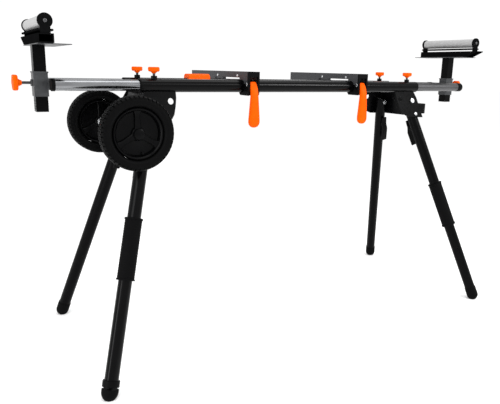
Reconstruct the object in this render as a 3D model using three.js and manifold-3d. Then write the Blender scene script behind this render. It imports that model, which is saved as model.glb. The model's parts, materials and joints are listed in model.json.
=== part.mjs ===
// Folding, rolling stand for a miter saw: a twin-tube beam on four folding legs, with two
// wheels at one end, two sliding saw brackets, and a height-adjustable roller at each end.
// Units are millimetres. +X runs along the beam away from the wheels, +Y to the rear, +Z up.
// The floor is z = 0 and the origin lies under the middle of the beam.

import * as THREE from 'three';
import { mergeVertices } from 'three/addons/utils/BufferGeometryUtils.js';
import Module from 'manifold-3d';

const wasm = await Module();
wasm.setup();

// ---------------------------------------------------------------- driving dimensions

const GAP = 0.3;
const SEGMENTS = 20;

const BEAM_Z = 805;
const BEAM_TUBE_Y = 74;
const BEAM_TUBE_RADIUS = 19;
const BEAM_TUBE_WALL = 2;
const BEAM_HALF_LENGTH = 534;

const ARM_RADIUS = 15.25;
const ARM_WALL = 1.75;
const ARM_INNER_END = 283;
const ARM_OUTER_END = { left: 772, right: 781 };

const ARM_KNOB_X = 492;
const STUD_RADIUS = 4;
const BOSS_RADIUS = 9;
const BOSS_HEIGHT = 8;
const KNOB_THICKNESS = 13;
const KNOB_NECK_RADIUS = 7;
const KNOB_LOBES = 6;
const KNOB_LOBE_DEPTH = 1.1;
const ARM_KNOB_RADIUS = 17;
const ARM_KNOB_NECK = 5;
const ARM_KNOB_TOP_Z = 856.5;

const POST_X = 787;
const POST_SIDE = 32;
const POST_WALL = 2;
const POST_BOTTOM_Z = { left: 731, right: 744 };
const SLEEVE_SIDE = 37;
const SLEEVE_BORE = 32.8;
const SLEEVE_BOTTOM_Z = 772;
const SLEEVE_TOP_Z = 838;
const SLEEVE_LIP = 1.6;
const YOKE_BAR_THICKNESS = 5;
const YOKE_BAR_HALF_HEIGHT = 15;
const POST_KNOB_OUTER_X = 856;
const POST_KNOB_RADIUS = 22.5;
const POST_KNOB_NECK = 10;
const POST_KNOB_Z = 808;

const ROLLER_Z = { left: 961, right: 973 };
const ROLLER_RADIUS = 16;
const ROLLER_HALF_LENGTH = 122;
const ROLLER_PIN_RADIUS = 5;
const CRADLE_WIDTH = 38;
const CRADLE_EAR_THICKNESS = 6;
const CRADLE_EAR_RADIUS = 18.5;
const CRADLE_NECK_WIDTH = 24;
const CRADLE_TRAY_TOP = 19;
const CRADLE_TRAY_THICKNESS = 5;
const CRADLE_CHANNEL_TOP = 30;
const CRADLE_CHANNEL_BOTTOM = 52.5;
const CRADLE_CHANNEL_WALL = 2.5;
const CRADLE_CHAMFER = 45;
const CRADLE_NOSE = 150;
const CRADLE_HEEL = 132;
const LEDGE_INNER = 64;
const LEDGE_OUTER = 18;
const LEDGE_THICKNESS = 2;
const LEDGE_HALF_LENGTH = 120;

const RAIL_X = { left: -209, right: 224 };
const RAIL_WIDTH = 40;
const RAIL_TOP_Z = 849;
const RAIL_SHEET = 2.5;
const RAIL_FRONT_Y = -111.5;
const RAIL_REAR_Y = 305;
const RAIL_SADDLE_Z = 812;
const RAIL_WAIST_Z = 830;
const RAIL_TAIL_Z = 820;
const RAIL_TAIL_START = 112;
const RAIL_FRONT_SADDLE_END = -66;
const RAIL_PAD_Y = [54, 96];
const RAIL_PAD_WIDTH = 12;
const SLOT_WIDTH = 9;
const SLOT_LENGTH = 60;
const SLOT_CENTRES_Y = [-10, 190];

const CLAMP_WIDTH = 38;
const CLAMP_FRONT_Y = -118;
const CLAMP_BOTTOM_Z = 777;
const CLAMP_BACK_Y = -58;
const LEVER_PIN_Y = -108;
const LEVER_PIN_Z = 811;
const LEVER_PIN_RADIUS = 3.5;
const LEVER_SLOT_WIDTH = 25;
const LEVER_SLOT_BACK_Y = -95.5;
const LEVER_SLOT_CLEARANCE = 1.2;
const LEVER_SLOT_TOP_Z = 834;
const LEVER_GRIP_BOTTOM_Z = 680;
const LEVER_GRIP_FRONT_Y = -132;
const LEVER_GRIP_BACK_Y = -112;
const LEVER_END_RADIUS = 19;
const LEVER_BEND_Z = 785;

const LEG_RADIUS = 19;
const LEG_WALL = 2;
const LEG_TOP_ABOVE_PIVOT = 8;
const LEG_UP = new THREE.Vector3(-0.2625, -0.2857, 0.9219).normalize();
const LEG_REFERENCE = new THREE.Vector3(504, 69, 755);
const PIVOT_Z = { left: 704, right: 748 };
const PIVOT_BOLT_RADIUS = 5;
const FOOT_RADIUS = 20.8;
const FOOT_CENTRE_Z = 17;
const FOOT_CAP_HEIGHT = 30;
const GRIP_TOP_Z = 447;
const GRIP_BOTTOM_Z = 288;
const GRIP_RADIUS = 24;
const GRIP_FLANGE_RADIUS = 25.6;
const GRIP_FLANGE = 5;
const LOCK_LEVER_WIDTH = 20;
const LEVELLER_RADIUS = 23;
const LEVELLER_DOME_TOP_Z = 25;
const LEVELLER_COLLAR_BOTTOM_Z = 30;
const LEVELLER_COLLAR_TOP_Z = 46;

const PLATE_INNER_FACE = LEG_RADIUS + 1.3;
const PLATE_THICKNESS = 3;
const PLATE_BOTTOM_Z = { left: 682, right: 690 };
const PLATE_HOLE_X = 449;
const PLATE_HOLE_Z = 761;
const PLATE_HOLE_RADIUS = 9;

const CROSS_PLATE_THICKNESS = 3;
const CROSS_PLATE_FOOT = [547.5, 696];
const CROSS_PLATE_HEAD = [518.5, 782];

const WHEEL_X = -583;
const WHEEL_Z = 683.5;
const WHEEL_Y = 185;
const WHEEL_RADIUS = 100;
const WHEEL_WIDTH = 48;
const RIM_RADIUS = 70;
const RIM_HALF_WIDTH = 13;
const HUB_RADIUS = 17;
const HUB_HALF_WIDTH = 14;
const HUB_DISC_HALF_WIDTH = 4;
const AXLE_RADIUS = 8;
const AXLE_LUG_RADIUS = 20;
const WHEEL_SEGMENTS = 28;

const HANDLE_OUTER_X = 636;
const HANDLE_HALF_WIDTH = 56;
const HANDLE_TOP_Z = 740;
const HANDLE_BOTTOM_Z = 703;
const HANDLE_BAR = 20;
const HANDLE_CORNER = 26;
const HANDLE_LOOP_CORNER = 12;
const HANDLE_LOOP_X = 563;

const CARRY_GRIP_X = [-329, -256];
const CARRY_GRIP_TOP_Z = 838;

// ---------------------------------------------------------------- materials

function finish(color, roughness, metalness) {
  return new THREE.MeshStandardMaterial({ color, roughness, metalness });
}

const blackCoat = finish(0x141416, 0.35, 0.3);
const blackPlastic = finish(0x121213, 0.6, 0.0);
const darkSheet = finish(0x3c3d40, 0.45, 0.5);
const zinc = finish(0x8d9094, 0.45, 0.8);
const armSteel = { left: finish(0xc9ccd0, 0.18, 1.0), right: finish(0x8b8c8f, 0.4, 0.9) };
const rollerSkin = finish(0xb9bbbd, 0.5, 0.4);
const orangePlastic = finish(0xff6a00, 0.45, 0.0);
const rubber = finish(0x17181a, 0.85, 0.0);
const boltSteel = finish(0xb4b6b9, 0.3, 1.0);

// ---------------------------------------------------------------- geometry helpers

function toSolid(geometry) {
  const bare = geometry.clone();
  bare.deleteAttribute('normal');
  bare.deleteAttribute('uv');
  const merged = mergeVertices(bare, 1e-4);
  const vertProperties = Float32Array.from(merged.attributes.position.array);
  const triVerts = Uint32Array.from(merged.index.array);
  return new wasm.Manifold(new wasm.Mesh({ numProp: 3, vertProperties, triVerts }));
}

function toGeometry(solid) {
  const mesh = solid.getMesh();
  const geometry = new THREE.BufferGeometry();
  geometry.setAttribute('position', new THREE.BufferAttribute(mesh.vertProperties.slice(), 3));
  geometry.setIndex(new THREE.BufferAttribute(mesh.triVerts.slice(), 1));
  geometry.computeVertexNormals();
  return geometry;
}

const union = (...solids) => solids.reduce((whole, next) => whole.add(next));
const cut = (solid, ...tools) => tools.reduce((rest, tool) => rest.subtract(tool), solid);

function block(x0, x1, y0, y1, z0, z1) {
  const geometry = new THREE.BoxGeometry(x1 - x0, y1 - y0, z1 - z0);
  geometry.translate((x0 + x1) / 2, (y0 + y1) / 2, (z0 + z1) / 2);
  return toSolid(geometry);
}

// A round bar whose axis is parallel to x, y or z, from one coordinate to another.
function rod(axis, radius, from, to, centre = [0, 0, 0], segments = SEGMENTS) {
  const geometry = new THREE.CylinderGeometry(radius, radius, to - from, segments);
  geometry.translate(0, (from + to) / 2, 0);
  if (axis === 'x') geometry.rotateZ(-Math.PI / 2);
  if (axis === 'z') geometry.rotateX(Math.PI / 2);
  geometry.translate(...centre);
  return toSolid(geometry);
}

function pipe(axis, outer, inner, from, to, centre) {
  return cut(rod(axis, outer, from, to, centre), rod(axis, inner, from - 1, to + 1, centre));
}

// A profile of [radius, height] pairs turned about the z axis.
function turned(profile, segments = SEGMENTS) {
  const geometry = new THREE.LatheGeometry(profile.map(([r, h]) => new THREE.Vector2(r, h)), segments);
  geometry.rotateX(Math.PI / 2);
  const solid = toSolid(geometry);
  return solid.volume() < 0 ? toSolid(flipped(geometry)) : solid;
}

function flipped(geometry) {
  const index = Array.from(geometry.index.array);
  for (let i = 0; i < index.length; i += 3) {
    [index[i], index[i + 1]] = [index[i + 1], index[i]];
  }
  const turnedOver = geometry.clone();
  turnedOver.setIndex(index);
  return turnedOver;
}

function arc(centreX, centreY, radius, startDegrees, endDegrees, steps = 6) {
  const points = [];
  for (let i = 0; i <= steps; i += 1) {
    const angle = THREE.MathUtils.degToRad(startDegrees + ((endDegrees - startDegrees) * i) / steps);
    points.push([centreX + radius * Math.cos(angle), centreY + radius * Math.sin(angle)]);
  }
  return points;
}

function shapeOf(outline) {
  return new THREE.Shape(outline.map(([x, y]) => new THREE.Vector2(x, y)));
}

// An outline in the x-z plane, extruded along y from one coordinate to another.
function slabXZ(outline, y0, y1) {
  const geometry = new THREE.ExtrudeGeometry(shapeOf(outline), { depth: y1 - y0, bevelEnabled: false });
  geometry.rotateX(Math.PI / 2);
  geometry.translate(0, y1, 0);
  return toSolid(geometry);
}

// An outline in the y-z plane, extruded along x from one coordinate to another.
function slabYZ(outline, x0, x1) {
  const geometry = new THREE.ExtrudeGeometry(shapeOf(outline), { depth: x1 - x0, bevelEnabled: false });
  geometry.rotateX(Math.PI / 2);
  geometry.rotateZ(Math.PI / 2);
  geometry.translate(x0, 0, 0);
  return toSolid(geometry);
}

// An outline in the x-y plane, extruded along z from one coordinate to another.
function slabXY(outline, z0, z1) {
  const geometry = new THREE.ExtrudeGeometry(shapeOf(outline), { depth: z1 - z0, bevelEnabled: false });
  geometry.translate(0, 0, z0);
  return toSolid(geometry);
}

const stand = new THREE.Group();

function addPart(parent, name, solid, material) {
  const mesh = new THREE.Mesh(toGeometry(solid), material);
  mesh.name = name;
  parent.add(mesh);
  return mesh;
}

const ENDS = [['left', -1], ['right', 1]];
const SIDES = [['front', -1], ['rear', 1]];

// ---------------------------------------------------------------- leg geometry

// The point on a leg's centre line at height z.
function legPoint(xSign, ySign, z) {
  const rise = (z - LEG_REFERENCE.z) / LEG_UP.z;
  const point = LEG_REFERENCE.clone().addScaledVector(LEG_UP, rise);
  return new THREE.Vector3(xSign * point.x, ySign * point.y, point.z);
}

// The leg's own frame: origin on the pivot, z up along the leg, y square to the plane it
// swings in and pointing away from the beam's middle.
function legFrame(end, xSign, ySign) {
  const up = new THREE.Vector3(xSign * LEG_UP.x, ySign * LEG_UP.y, LEG_UP.z);
  const outward = new THREE.Vector3(0, ySign * LEG_UP.z, -LEG_UP.y).normalize();
  const across = new THREE.Vector3().crossVectors(outward, up);
  const frame = new THREE.Group();
  frame.matrix.makeBasis(across, outward, up);
  frame.quaternion.setFromRotationMatrix(frame.matrix);
  frame.position.copy(legPoint(xSign, ySign, PIVOT_Z[end]));
  frame.updateMatrixWorld(true);
  stand.add(frame);
  return frame;
}

// Distance along the leg, down from the pivot, to the height z.
const legDrop = (end, z) => (PIVOT_Z[end] - z) / LEG_UP.z;

// Everything below the floor, expressed in a leg's frame.
function floorIn(frame) {
  const slab = new THREE.BoxGeometry(200, 200, 100);
  slab.translate(frame.position.x, frame.position.y, -50);
  const footX = legPoint(Math.sign(frame.position.x), Math.sign(frame.position.y), 0);
  slab.translate(footX.x - frame.position.x, footX.y - frame.position.y, 0);
  slab.applyMatrix4(frame.matrixWorld.clone().invert());
  return toSolid(slab);
}

function legTube(end, bottom) {
  const tube = pipe('z', LEG_RADIUS, LEG_RADIUS - LEG_WALL, -bottom, LEG_TOP_ABOVE_PIVOT);
  return cut(tube, rod('y', PIVOT_BOLT_RADIUS + GAP, -LEG_RADIUS - 5, LEG_RADIUS + 5, [0, 0, 0], 16));
}

function pivotBolt() {
  const plateFace = PLATE_INNER_FACE + PLATE_THICKNESS + GAP;
  return union(
    rod('y', PIVOT_BOLT_RADIUS, -LEG_RADIUS - 8, plateFace + 4, [0, 0, 0], 16),
    rod('y', 9, plateFace, plateFace + 5.5, [0, 0, 0], 12),
    rod('y', 9, -LEG_RADIUS - 7, -LEG_RADIUS - 1, [0, 0, 0], 6),
  );
}

function footCap(end, frame) {
  const centre = -legDrop(end, FOOT_CENTRE_Z);
  const top = centre + FOOT_CAP_HEIGHT;
  const dome = arc(0, centre, FOOT_RADIUS, 0, -90, 5);
  const cap = turned([[0, top], [FOOT_RADIUS, top], ...dome.slice(0, -1), [0, centre - FOOT_RADIUS]]);
  const socket = rod('z', LEG_RADIUS + GAP, centre - GAP, top + 1);
  return cut(cap, socket, floorIn(frame));
}

function handGrip(end) {
  const top = -legDrop(end, GRIP_TOP_Z);
  const bottom = -legDrop(end, GRIP_BOTTOM_Z);
  return turned([
    [LEG_RADIUS + GAP, bottom],
    [GRIP_FLANGE_RADIUS, bottom],
    [GRIP_FLANGE_RADIUS, bottom + GRIP_FLANGE],
    [GRIP_RADIUS, bottom + GRIP_FLANGE + 2],
    [GRIP_RADIUS, top - GRIP_FLANGE - 2],
    [GRIP_FLANGE_RADIUS, top - GRIP_FLANGE],
    [GRIP_FLANGE_RADIUS, top],
    [LEG_RADIUS + GAP, top],
    [LEG_RADIUS + GAP, bottom],
  ]);
}

function levellerCollar(end) {
  const top = -legDrop(end, LEVELLER_COLLAR_TOP_Z);
  const bottom = -legDrop(end, LEVELLER_COLLAR_BOTTOM_Z);
  const seat = bottom + 6;
  return turned([
    [STUD_RADIUS + 1 + GAP, bottom],
    [LEVELLER_RADIUS, bottom],
    [LEVELLER_RADIUS, top],
    [LEG_RADIUS + GAP, top],
    [LEG_RADIUS + GAP, seat],
    [STUD_RADIUS + 1 + GAP, seat],
    [STUD_RADIUS + 1 + GAP, bottom],
  ]);
}

function levellingFoot(end, frame) {
  const domeTop = -legDrop(end, LEVELLER_DOME_TOP_Z);
  const rim = domeTop - 6;
  const tip = -legDrop(end, 0) - 6;
  const height = rim - tip;
  const curve = arc(0, 0, 1, 0, -90, 6).map(([c, s]) => [LEVELLER_RADIUS * c, rim + height * s]);
  const dome = turned([[0, domeTop], [LEVELLER_RADIUS, domeTop], ...curve.slice(0, -1), [0, tip]]);
  const stud = rod('z', STUD_RADIUS + 1, domeTop - 1, domeTop + 55, [0, 0, 0], 16);
  return cut(union(dome, stud), floorIn(frame));
}

// The spring lever that unlocks a leg: a bent paddle pinned to the leg's inner face.
function lockLever() {
  const outline = [
    [20.6, -101],
    [24.6, -101],
    [31, -112],
    [32, -160],
    ...arc(35.5, -160, 3.5, 180, 360, 5),
    [39, -112],
    [31, -92],
    [29, -66],
    [24.6, -66],
    [24.6, -89],
    [20.6, -89],
  ];
  return slabYZ(outline, -LOCK_LEVER_WIDTH / 2, LOCK_LEVER_WIDTH / 2).mirror([0, 1, 0]);
}

// ---------------------------------------------------------------- housing plates

// A pressed plate that hangs from a beam tube in the plane a leg swings in. Its outline is
// given by x (towards the beam's end) and height z.
function housingOutline(end) {
  const bottom = PLATE_BOTTOM_Z[end];
  const inner = [[430, 800], [431, 764], [436, 740], [443, 717], [452, 704], [468, 696], [486, bottom]];
  const outer = [[533, 760], [520, 786], [520, 800]];
  if (end === 'left') {
    const lug = arc(-WHEEL_X, WHEEL_Z, AXLE_LUG_RADIUS, -90, 60, 7);
    return [...inner, [548, bottom - 12], ...lug, [556, 724], ...outer];
  }
  return [...inner, [552, bottom - 2], ...outer];
}

function housingPlate(end, ySign) {
  const slope = -LEG_UP.y / LEG_UP.z;
  const outward = new THREE.Vector2(LEG_UP.z, -LEG_UP.y).normalize();
  // The outline is laid out flat, with heights stretched to their length along the plate.
  const stretch = 1 / outward.x;
  const flat = housingOutline(end).map(([x, z]) => [x, (z - LEG_REFERENCE.z) * stretch]);
  const shape = shapeOf(flat);
  const plate = new THREE.ExtrudeGeometry(shape, { depth: PLATE_THICKNESS, bevelEnabled: false });
  // Outline x stays x, outline y runs up the leaning plate, depth runs outward.
  const upPlate = new THREE.Vector3(0, -outward.y, outward.x);
  const basis = new THREE.Matrix4().makeBasis(
    new THREE.Vector3(1, 0, 0),
    upPlate,
    new THREE.Vector3(0, outward.x, outward.y).negate(),
  );
  plate.applyMatrix4(basis);
  const reach = PLATE_INNER_FACE + PLATE_THICKNESS;
  plate.translate(0, LEG_REFERENCE.y + outward.x * reach, LEG_REFERENCE.z + outward.y * reach);
  let solid = toSolid(plate);
  if (solid.volume() < 0) solid = toSolid(flipped(plate));
  const pivot = legPoint(1, 1, PIVOT_Z[end]);
  const hole = new THREE.CylinderGeometry(PIVOT_BOLT_RADIUS + GAP, PIVOT_BOLT_RADIUS + GAP, 90, 16);
  hole.rotateX(Math.atan(slope));
  hole.translate(pivot.x, pivot.y, pivot.z);
  const tools = [
    rod('x', BEAM_TUBE_RADIUS + GAP, 300, 700, [0, BEAM_TUBE_Y, BEAM_Z], SEGMENTS),
    toSolid(hole),
    rod('y', PLATE_HOLE_RADIUS, 0, 200, [PLATE_HOLE_X, 0, PLATE_HOLE_Z], 16),
  ];
  if (end === 'left') {
    tools.push(rod('y', AXLE_RADIUS + GAP, 0, 200, [-WHEEL_X, 0, WHEEL_Z]));
  }
  solid = cut(solid, ...tools);
  if (end === 'left') solid = solid.mirror([1, 0, 0]);
  if (ySign < 0) solid = solid.mirror([0, 1, 0]);
  return solid;
}

// Half the clear width between the two leaning plates at height z.
function plateGap(z) {
  const outward = new THREE.Vector2(LEG_UP.z, -LEG_UP.y).normalize();
  const lean = outward.y * (z - LEG_REFERENCE.z);
  return LEG_REFERENCE.y + (PLATE_INNER_FACE - lean) / outward.x - GAP;
}

// The cross plate that ties a pair of housing plates together, just outside the legs.
function crossPlate(end) {
  const bottom = PLATE_BOTTOM_Z[end] + 6;
  const top = BEAM_Z - BEAM_TUBE_RADIUS - 4;
  const outline = [
    [-plateGap(bottom) + 1, bottom],
    [plateGap(bottom) - 1, bottom],
    [plateGap(top) - 1, top],
    [-plateGap(top) + 1, top],
  ];
  const lean = slabXZ([
    [crossPlateX(bottom - 1), bottom - 1],
    [crossPlateX(bottom - 1) + CROSS_PLATE_THICKNESS, bottom - 1],
    [crossPlateX(top + 1) + CROSS_PLATE_THICKNESS, top + 1],
    [crossPlateX(top + 1), top + 1],
  ], -200, 200);
  const plate = slabYZ(outline, 400, 700).intersect(lean);
  return end === 'left' ? plate.mirror([1, 0, 0]) : plate;
}

// The inner face of a cross plate, which leans with the legs, at height z.
function crossPlateX(z) {
  const [footX, footZ] = CROSS_PLATE_FOOT;
  const [headX, headZ] = CROSS_PLATE_HEAD;
  return THREE.MathUtils.mapLinear(z, footZ, headZ, footX, headX);
}

// ---------------------------------------------------------------- beam

function beamTube(ySign) {
  const centre = [0, ySign * BEAM_TUBE_Y, BEAM_Z];
  const inner = BEAM_TUBE_RADIUS - BEAM_TUBE_WALL;
  let tube = rod('x', BEAM_TUBE_RADIUS, -BEAM_HALF_LENGTH, BEAM_HALF_LENGTH, centre);
  const drills = [rod('x', inner, -BEAM_HALF_LENGTH - 1, BEAM_HALF_LENGTH + 1, centre)];
  for (const x of [-ARM_KNOB_X, ARM_KNOB_X]) {
    const spot = [x, centre[1], 0];
    const top = BEAM_Z + BEAM_TUBE_RADIUS;
    tube = tube.add(rod('z', BOSS_RADIUS, top - 4, top + BOSS_HEIGHT, spot, 12));
    drills.push(rod('z', STUD_RADIUS + GAP, BEAM_Z, top + BOSS_HEIGHT + 1, spot, 12));
  }
  return cut(tube, ...drills);
}

// A lobed hand knob with its stud, standing on the origin and pointing up to its full height.
function studKnob(knobRadius, neckLength, height) {
  const outline = [];
  const steps = KNOB_LOBES * 6;
  for (let i = 0; i < steps; i += 1) {
    const angle = (2 * Math.PI * i) / steps;
    const radius = knobRadius - KNOB_LOBE_DEPTH * (1 - Math.cos(KNOB_LOBES * angle));
    outline.push([radius * Math.cos(angle), radius * Math.sin(angle)]);
  }
  const knobBottom = height - KNOB_THICKNESS;
  return union(
    rod('z', STUD_RADIUS, 0, knobBottom + 1, [0, 0, 0], 12),
    rod('z', KNOB_NECK_RADIUS, knobBottom - neckLength, knobBottom + 1, [0, 0, 0], 16),
    slabXY(outline, knobBottom, height),
  );
}

// ---------------------------------------------------------------- arms, posts and rollers

// Cross bar and square sleeve, welded together and to the two arm tubes.
function armYoke(xSign) {
  const half = SLEEVE_SIDE / 2;
  const bore = SLEEVE_BORE / 2;
  const barEnd = BEAM_TUBE_Y - ARM_RADIUS - GAP;
  const barX = POST_X - half;
  const lip = SLEEVE_LIP;
  const yoke = union(
    block(POST_X - half, POST_X + half, -half, half, SLEEVE_BOTTOM_Z, SLEEVE_TOP_Z - 3),
    block(POST_X - half - lip, POST_X + half + lip, -half - lip, half + lip, SLEEVE_TOP_Z - 4, SLEEVE_TOP_Z),
    block(
      barX - YOKE_BAR_THICKNESS,
      barX + 1,
      -barEnd,
      barEnd,
      BEAM_Z - YOKE_BAR_HALF_HEIGHT,
      BEAM_Z + YOKE_BAR_HALF_HEIGHT,
    ),
    rod('x', BOSS_RADIUS, POST_X + half - 1, POST_X + half + 5, [0, 0, POST_KNOB_Z], 12),
  );
  const solid = cut(
    yoke,
    block(POST_X - bore, POST_X + bore, -bore, bore, SLEEVE_BOTTOM_Z - 1, SLEEVE_TOP_Z + 1),
    rod('x', STUD_RADIUS + GAP, POST_X, POST_X + 60, [0, 0, POST_KNOB_Z], 12),
  );
  return xSign > 0 ? solid : solid.mirror([1, 0, 0]);
}

function post(end, xSign) {
  const half = POST_SIDE / 2;
  const inside = half - POST_WALL;
  const bottom = POST_BOTTOM_Z[end];
  const top = ROLLER_Z[end] - CRADLE_CHANNEL_BOTTOM - GAP;
  const x = xSign * POST_X;
  return cut(
    block(x - half, x + half, -half, half, bottom, top),
    block(x - inside, x + inside, -inside, inside, bottom - 1, top + 1),
  );
}

// The cradle is drawn about the roller's axis, with its chamfered nose towards -y.
function cradle() {
  const half = CRADLE_WIDTH / 2;
  const wall = CRADLE_CHANNEL_WALL;
  const channelOutline = [
    [-CRADLE_NOSE + CRADLE_CHAMFER, -CRADLE_CHANNEL_BOTTOM],
    [CRADLE_HEEL, -CRADLE_CHANNEL_BOTTOM],
    [CRADLE_HEEL, -CRADLE_CHANNEL_TOP],
    [-CRADLE_NOSE, -CRADLE_CHANNEL_TOP],
    [-CRADLE_NOSE, -CRADLE_CHANNEL_TOP - 3],
  ];
  const channel = cut(
    slabYZ(channelOutline, -half, half),
    block(
      -half + wall,
      half - wall,
      -CRADLE_NOSE - 1,
      CRADLE_HEEL + 1,
      -CRADLE_CHANNEL_BOTTOM + wall,
      -CRADLE_CHANNEL_TOP - wall,
    ),
  );
  const earInner = ROLLER_HALF_LENGTH + 1.5;
  const earOuter = earInner + CRADLE_EAR_THICKNESS;
  const trayEnd = earOuter - 1;
  const trayBottom = -CRADLE_TRAY_TOP - CRADLE_TRAY_THICKNESS;
  let solid = channel.add(block(-half, half, -trayEnd, trayEnd, trayBottom, -CRADLE_TRAY_TOP));
  for (const [y0, y1] of [[-earOuter, -earInner], [earInner, earOuter]]) {
    const neck = CRADLE_NECK_WIDTH / 2;
    solid = solid.add(rod('y', CRADLE_EAR_RADIUS, y0, y1));
    solid = solid.add(block(-neck, neck, y0, y1, -CRADLE_CHANNEL_TOP - 1, 0));
    solid = solid.subtract(rod('y', ROLLER_PIN_RADIUS + GAP, y0 - 1, y1 + 1, [0, 0, 0], 16));
  }
  return solid;
}

// A solid roller with a stub pin at each end that turns in the cradle's ears.
function roller() {
  return union(
    rod('y', ROLLER_RADIUS, -ROLLER_HALF_LENGTH, ROLLER_HALF_LENGTH, [0, 0, 0], 28),
    rod('y', ROLLER_PIN_RADIUS, -ROLLER_HALF_LENGTH - 7, ROLLER_HALF_LENGTH + 7, [0, 0, 0], 16),
  );
}

// A thin ledge plate under the cradle, reaching towards the saw, with a hole for the post.
function ledgePlate() {
  const top = -CRADLE_CHANNEL_BOTTOM - GAP;
  const hole = POST_SIDE / 2 + GAP;
  return cut(
    block(-LEDGE_INNER, LEDGE_OUTER, -LEDGE_HALF_LENGTH, LEDGE_HALF_LENGTH, top - LEDGE_THICKNESS, top),
    block(-hole, hole, -hole, hole, top - LEDGE_THICKNESS - 1, top + 1),
  );
}

// ---------------------------------------------------------------- saw brackets

// A channel that is open below: a saddle on the front beam tube, a waist between the tubes,
// a narrow pad on the rear tube and a tail behind it.
function rail(x0) {
  const x1 = x0 + RAIL_WIDTH;
  const profile = [
    [RAIL_FRONT_Y, RAIL_SADDLE_Z],
    [RAIL_FRONT_SADDLE_END, RAIL_SADDLE_Z],
    [RAIL_FRONT_SADDLE_END + 6, RAIL_WAIST_Z],
    [RAIL_TAIL_START, RAIL_WAIST_Z],
    [RAIL_TAIL_START + 6, RAIL_TAIL_Z],
    [RAIL_REAR_Y, RAIL_TAIL_Z],
    [RAIL_REAR_Y, RAIL_TOP_Z],
    [RAIL_FRONT_Y, RAIL_TOP_Z],
  ];
  const inside = block(
    x0 + RAIL_SHEET,
    x1 - RAIL_SHEET,
    RAIL_FRONT_Y - 1,
    RAIL_REAR_Y + 1,
    RAIL_SADDLE_Z - 1,
    RAIL_TOP_Z - RAIL_SHEET,
  );
  const [padFront, padRear] = RAIL_PAD_Y;
  const padTop = RAIL_TOP_Z - RAIL_SHEET / 2;
  const pad = block(x0, x0 + RAIL_PAD_WIDTH, padFront, padRear, RAIL_SADDLE_Z, padTop);
  const tools = [];
  for (const ySign of [-1, 1]) {
    const centre = [0, ySign * BEAM_TUBE_Y, BEAM_Z];
    tools.push(rod('x', BEAM_TUBE_RADIUS + 2 * GAP, x0 - 1, x1 + 1, centre, SEGMENTS));
  }
  // A notch in each side wall lets the lever's pin through.
  const pinCentre = [0, LEVER_PIN_Y, LEVER_PIN_Z];
  tools.push(rod('x', LEVER_PIN_RADIUS + GAP, x0 - 1, x1 + 1, pinCentre, 12));
  const middle = (x0 + x1) / 2;
  for (const y of SLOT_CENTRES_Y) {
    const half = SLOT_LENGTH / 2;
    const [left, right] = [middle - SLOT_WIDTH / 2, middle + SLOT_WIDTH / 2];
    tools.push(block(left, right, y - half, y + half, RAIL_TOP_Z - 10, RAIL_TOP_Z + 10));
  }
  return cut(cut(slabYZ(profile, x0, x1), inside).add(pad), ...tools);
}

// The clamp: a hook that grips the front beam tube from below, with a fork for the lever.
function clampBody(x0) {
  const x1 = x0 + RAIL_WIDTH;
  const inset = (RAIL_WIDTH - CLAMP_WIDTH) / 2;
  const left = x0 + inset;
  const right = x1 - inset;
  const hook = [
    [CLAMP_FRONT_Y + 4, CLAMP_BOTTOM_Z],
    [CLAMP_BACK_Y - 7, CLAMP_BOTTOM_Z],
    [CLAMP_BACK_Y, CLAMP_BOTTOM_Z + 7],
    [CLAMP_BACK_Y, BEAM_Z - 4],
    [-BEAM_TUBE_Y, RAIL_SADDLE_Z - GAP],
    [CLAMP_FRONT_Y, RAIL_SADDLE_Z - GAP],
    [CLAMP_FRONT_Y, CLAMP_BOTTOM_Z + 4],
  ];
  const faceBack = RAIL_FRONT_Y - GAP;
  const middle = (x0 + x1) / 2;
  const slotHalf = LEVER_SLOT_WIDTH / 2 + LEVER_SLOT_CLEARANCE;
  const [slotLeft, slotRight] = [middle - slotHalf, middle + slotHalf];
  const [slotFront, slotBack] = [CLAMP_FRONT_Y - 1, LEVER_SLOT_BACK_Y];
  return cut(
    union(
      slabYZ(hook, left, right),
      block(x0, x1, CLAMP_FRONT_Y, faceBack, LEVER_BEND_Z, RAIL_TOP_Z),
    ),
    rod('x', BEAM_TUBE_RADIUS + 2 * GAP, x0 - 1, x1 + 1, [0, -BEAM_TUBE_Y, BEAM_Z], SEGMENTS),
    block(slotLeft, slotRight, slotFront, slotBack, CLAMP_BOTTOM_Z - 1, LEVER_SLOT_TOP_Z),
    rod('x', LEVER_PIN_RADIUS + GAP, x0 - 1, x1 + 1, [0, LEVER_PIN_Y, LEVER_PIN_Z], 12),
  );
}

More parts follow.
